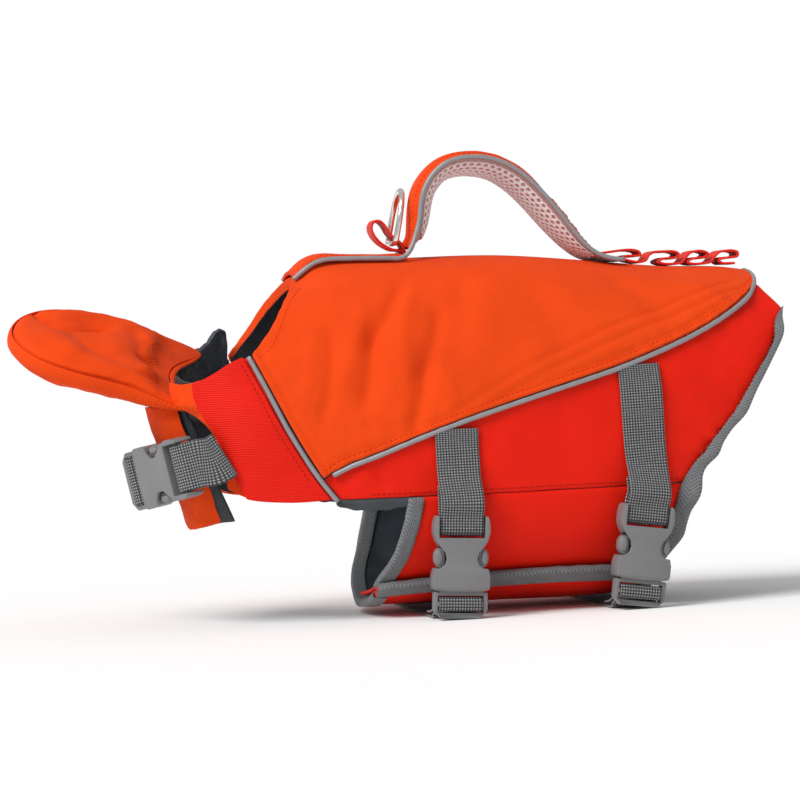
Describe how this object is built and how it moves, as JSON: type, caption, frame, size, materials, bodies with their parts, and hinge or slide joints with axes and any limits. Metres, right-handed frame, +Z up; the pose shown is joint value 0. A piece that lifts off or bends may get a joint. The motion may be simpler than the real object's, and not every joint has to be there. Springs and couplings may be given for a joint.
{
  "type": "dog life jacket",
  "caption": "Padded dog life jacket with a grab handle, a front float, belly straps on side-release buckles and a leash ring; shown filled out, with no wearer.",
  "frame": {"origin": "under the middle of the whole length, on the surface that the belly webbings rest on", "axes": "+X towards the tail, -Y the dog's left, +Z up"},
  "size_m": [0.4512, 0.1776, 0.2685],
  "materials": {
    "orange_twill": "matt coated twill",
    "red_nylon": "matt coated nylon",
    "ribbed_red_nylon": "fine horizontal ribs",
    "slate_lining": "dark soft lining",
    "spacer_mesh": "open white spacer mesh",
    "reflective_piping": "satin grey",
    "binding_tape": "grey herringbone tape",
    "webbing": "grey woven webbing",
    "red_webbing": "red woven webbing",
    "buckle_plastic": "moulded satin grey",
    "bright_steel": "bright plated steel"
  },
  "bodies": {
    "jacket": {"saddle_left": "orange_twill", "saddle_right": "orange_twill", "collar_left": "orange_twill", "collar_right": "orange_twill", "throat": "orange_twill", "float_top": "orange_twill", "float_under": "orange_twill", "float_gusset": "orange_twill", "spine_strip": "orange_twill", "handle_cover": "orange_twill", "side_left": "red_nylon", "side_right": "red_nylon", "belly_left": "red_nylon", "belly_flap": "red_nylon", "chest_left": "ribbed_red_nylon", "chest_right": "ribbed_red_nylon", "throat_lining": "slate_lining", "neck_lining": "slate_lining", "handle_mesh": "spacer_mesh", "spine_piping_left": "reflective_piping", "spine_piping_right": "reflective_piping", "saddle_piping_left": "reflective_piping", "saddle_piping_right": "reflective_piping", "chest_piping_left": "reflective_piping", "chest_piping_right": "reflective_piping", "hem_binding_left": "binding_tape", "hem_binding_right": "binding_tape", "leg_binding_left": "binding_tape", "leg_binding_right": "binding_tape", "flap_binding": "binding_tape", "strap_front_left": "webbing", "strap_front_right": "webbing", "strap_rear_left": "webbing", "strap_rear_right": "webbing", "belly_web_front": "webbing", "belly_web_rear": "webbing", "neck_web_left": "webbing", "neck_web_right": "webbing", "ring_tab": "red_webbing", "trim_loops": "red_webbing", "socket_front_left": "buckle_plastic", "plug_front_left": "buckle_plastic", "socket_front_right": "buckle_plastic", "plug_front_right": "buckle_plastic", "socket_rear_left": "buckle_plastic", "plug_rear_left": "buckle_plastic", "socket_rear_right": "buckle_plastic", "plug_rear_right": "buckle_plastic", "socket_neck": "buckle_plastic", "plug_neck": "buckle_plastic"},
    "leash_ring": {"d_ring": "bright_steel"}
  },
  "joints": [
    {"name": "ring_swing", "type": "hinge", "parent": "jacket", "child": "leash_ring", "pos_m": [0.00153, 0, 0.2155], "axis": [0, 1, 0], "range_deg": [-80, 0]}
  ]
}
